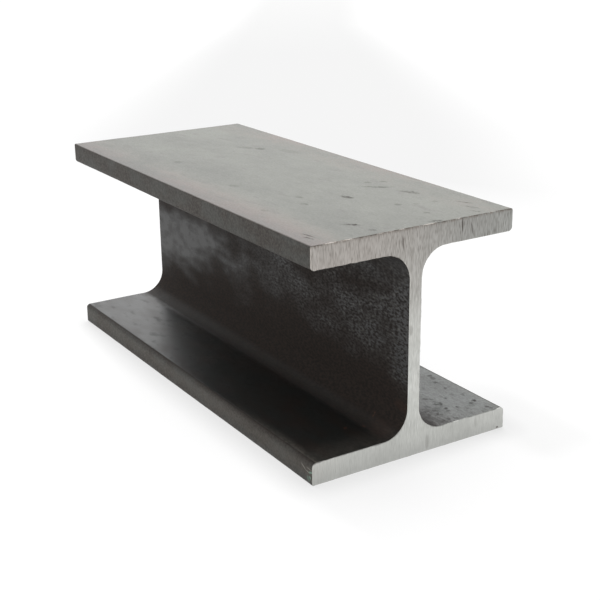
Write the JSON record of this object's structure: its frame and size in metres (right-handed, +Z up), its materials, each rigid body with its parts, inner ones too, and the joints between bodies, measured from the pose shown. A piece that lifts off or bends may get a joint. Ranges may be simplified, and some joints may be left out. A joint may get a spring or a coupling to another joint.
{
  "type": "steel h-beam",
  "caption": "Short offcut of hot-rolled steel H-beam with parallel flanges, a filleted web and square saw-cut ends; structural stock for welding, bolting or clamping.",
  "frame": {"origin": "centre of the lower flange's outer face, on the floor, halfway between the sawn ends", "axes": "+Z up through the web, +Y along the beam away from the end that faces the camera, +X across the flanges to the right"},
  "size_m": [0.1, 0.232, 0.1],
  "materials": {
    "hot_rolled_steel": "dark grey mill scale with light rust bloom on the rolled faces, bright band-sawn ends"
  },
  "bodies": {
    "root": {"h_beam": "hot_rolled_steel"}
  },
  "joints": []
}
